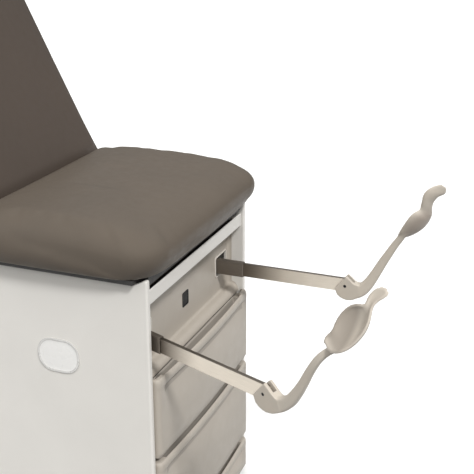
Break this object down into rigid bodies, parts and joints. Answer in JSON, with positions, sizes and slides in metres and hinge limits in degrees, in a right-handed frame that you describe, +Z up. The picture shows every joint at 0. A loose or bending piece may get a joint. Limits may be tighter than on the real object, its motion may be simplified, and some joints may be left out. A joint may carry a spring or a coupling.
{
  "type": "examination table",
  "caption": "Box-base clinic examination table: upholstered seat, tilting backrest on a gas spring, pull-out leg rest and step, drawers, and stirrups that swing, slide and fold.",
  "frame": {"origin": "on the floor under the middle of the cabinet", "axes": "+Z up, the foot end with the drawers and stirrups faces -Y, the head end +Y, +X to the right of someone standing at the foot end and facing the table"},
  "size_m": [0.7665, 1.5654, 1.5318],
  "materials": {
    "panel_paint": "warm light grey powder coat, satin",
    "front_plastic": "moulded putty-grey plastic, satin",
    "bezel_plastic": "moulded light grey plastic",
    "drawer_plastic": "light grey moulded drawer box",
    "plate_plastic": "white blank plate with a raised rim",
    "black_plastic": "black moulded plastic",
    "black_rubber": "black rubber",
    "black_board": "black painted plywood",
    "dark_metal": "dark grey powder coat",
    "black_metal": "black painted steel",
    "runner_steel": "zinc-plated runners",
    "pin_steel": "bright steel pins and screws",
    "rod_chrome": "chromed rod",
    "bar_steel": "brushed stainless steel, lengthwise grain",
    "sleeve_steel": "dull steel sleeve",
    "heel_plastic": "moulded putty-grey plastic",
    "vinyl": "satin taupe vinyl-coated upholstery over foam, no stitched seams"
  },
  "bodies": {
    "cabinet": {"base_plinth": "black_board", "side_panel_left": "panel_paint", "side_panel_right": "panel_paint", "rear_panel": "panel_paint", "top_deck": "black_board", "cross_rails": "dark_metal", "stirrup_panel": "front_plastic", "slot_bezels": "bezel_plastic", "blanking_plug": "black_plastic", "name_plate": "plate_plastic", "stirrup_shelf": "dark_metal", "stirrup_bridge": "dark_metal", "cabinet_runners": "runner_steel", "leg_rest_guides": "runner_steel", "seat_board": "black_board", "seat_cushion": "vinyl", "hinge_ears": "dark_metal", "hinge_pins": "pin_steel", "back_bumpers": "black_rubber", "spring_mount": "dark_metal", "spring_pin": "pin_steel", "panel_screws": "pin_steel"},
    "backrest": {"back_board": "black_board", "back_cushion": "vinyl", "back_hinge_arms": "dark_metal", "spring_bracket": "dark_metal", "lever_bracket": "dark_metal", "lever_pin": "pin_steel"},
    "release_lever": {"release_lever": "black_plastic"},
    "spring_cylinder": {"spring_cylinder": "black_metal"},
    "spring_rod": {"spring_rod": "rod_chrome"},
    "leg_rest": {"leg_rest_rail": "panel_paint", "leg_rest_board": "black_board", "leg_rest_pad": "vinyl"},
    "upper_drawer": {"upper_drawer_front": "front_plastic", "upper_drawer_box": "drawer_plastic", "upper_drawer_runners": "runner_steel"},
    "lower_drawer": {"lower_drawer_front": "front_plastic", "lower_drawer_box": "drawer_plastic", "lower_drawer_runners": "runner_steel"},
    "step": {"step_front": "front_plastic", "step_frame": "dark_metal", "step_tread": "black_rubber", "step_runners": "runner_steel", "step_glides": "black_rubber"},
    "stirrup_guide_left": {"stirrup_guide_left": "sleeve_steel"},
    "stirrup_bar_left": {"stirrup_bar_left": "bar_steel", "heel_pin_left": "black_metal"},
    "heel_rest_left": {"heel_rest_left": "heel_plastic"},
    "stirrup_guide_right": {"stirrup_guide_right": "sleeve_steel"},
    "stirrup_bar_right": {"stirrup_bar_right": "bar_steel", "heel_pin_right": "black_metal"},
    "heel_rest_right": {"heel_rest_right": "heel_plastic"}
  },
  "joints": [
    {"name": "back_tilt", "type": "hinge", "parent": "cabinet", "child": "backrest", "pos_m": [0, -0.074, 0.867], "axis": [1, 0, 0], "range_deg": [-63.4, 12]},
    {"name": "spring_swing", "type": "hinge", "parent": "cabinet", "child": "spring_cylinder", "pos_m": [0, 0.015, 0.45], "axis": [1, 0, 0], "range_deg": [-10.3, 2.3]},
    {"name": "spring_stroke", "type": "slide", "parent": "spring_cylinder", "child": "spring_rod", "axis": [0, 0.1611, 0.9869], "range_m": [-0.2235, 0.045]},
    {"name": "release_press", "type": "hinge", "parent": "backrest", "child": "release_lever", "pos_m": [0, 0.3239, 1.4562], "axis": [1, 0, 0], "range_deg": [0, 12], "stiffness_Nm_per_rad": 4, "springref_deg": -2.86},
    {"name": "leg_rest_slide", "type": "slide", "parent": "cabinet", "child": "leg_rest", "axis": [0, -1, 0], "range_m": [0, 0.34]},
    {"name": "upper_drawer_slide", "type": "slide", "parent": "cabinet", "child": "upper_drawer", "axis": [0, -1, 0], "range_m": [0, 0.4]},
    {"name": "lower_drawer_slide", "type": "slide", "parent": "cabinet", "child": "lower_drawer", "axis": [0, -1, 0], "range_m": [0, 0.4]},
    {"name": "step_slide", "type": "slide", "parent": "cabinet", "child": "step", "axis": [0, -1, 0], "range_m": [0, 0.3]},
    {"name": "stirrup_swing_left", "type": "hinge", "parent": "cabinet", "child": "stirrup_guide_left", "pos_m": [-0.197, -0.38, 0.636], "axis": [0, 0, -1], "range_deg": [-22, 2.5]},
    {"name": "stirrup_slide_left", "type": "slide", "parent": "stirrup_guide_left", "child": "stirrup_bar_left", "axis": [-0.3665, -0.9304, 0], "range_m": [-0.262, 0.03]},
    {"name": "heel_fold_left", "type": "hinge", "parent": "stirrup_bar_left", "child": "heel_rest_left", "pos_m": [-0.36706, -0.81171, 0.636], "axis": [-0.9304, 0.3665, 0], "range_deg": [0, 75]},
    {"name": "stirrup_swing_right", "type": "hinge", "parent": "cabinet", "child": "stirrup_guide_right", "pos_m": [0.197, -0.38, 0.636], "axis": [0, 0, 1], "range_deg": [-0.5, 24]},
    {"name": "stirrup_slide_right", "type": "slide", "parent": "stirrup_guide_right", "child": "stirrup_bar_right", "axis": [0, -1, 0], "range_m": [-0.232, 0.06]},
    {"name": "heel_fold_right", "type": "hinge", "parent": "stirrup_bar_right", "child": "heel_rest_right", "pos_m": [0.197, -0.814, 0.636], "axis": [-1, 0, 0], "range_deg": [0, 75]}
  ],
  "couplings": [
    {"joint": "spring_swing", "follows": "back_tilt", "ratio": 0.15813},
    {"joint": "spring_stroke", "follows": "back_tilt", "m_per_rad": 0.20106}
  ]
}
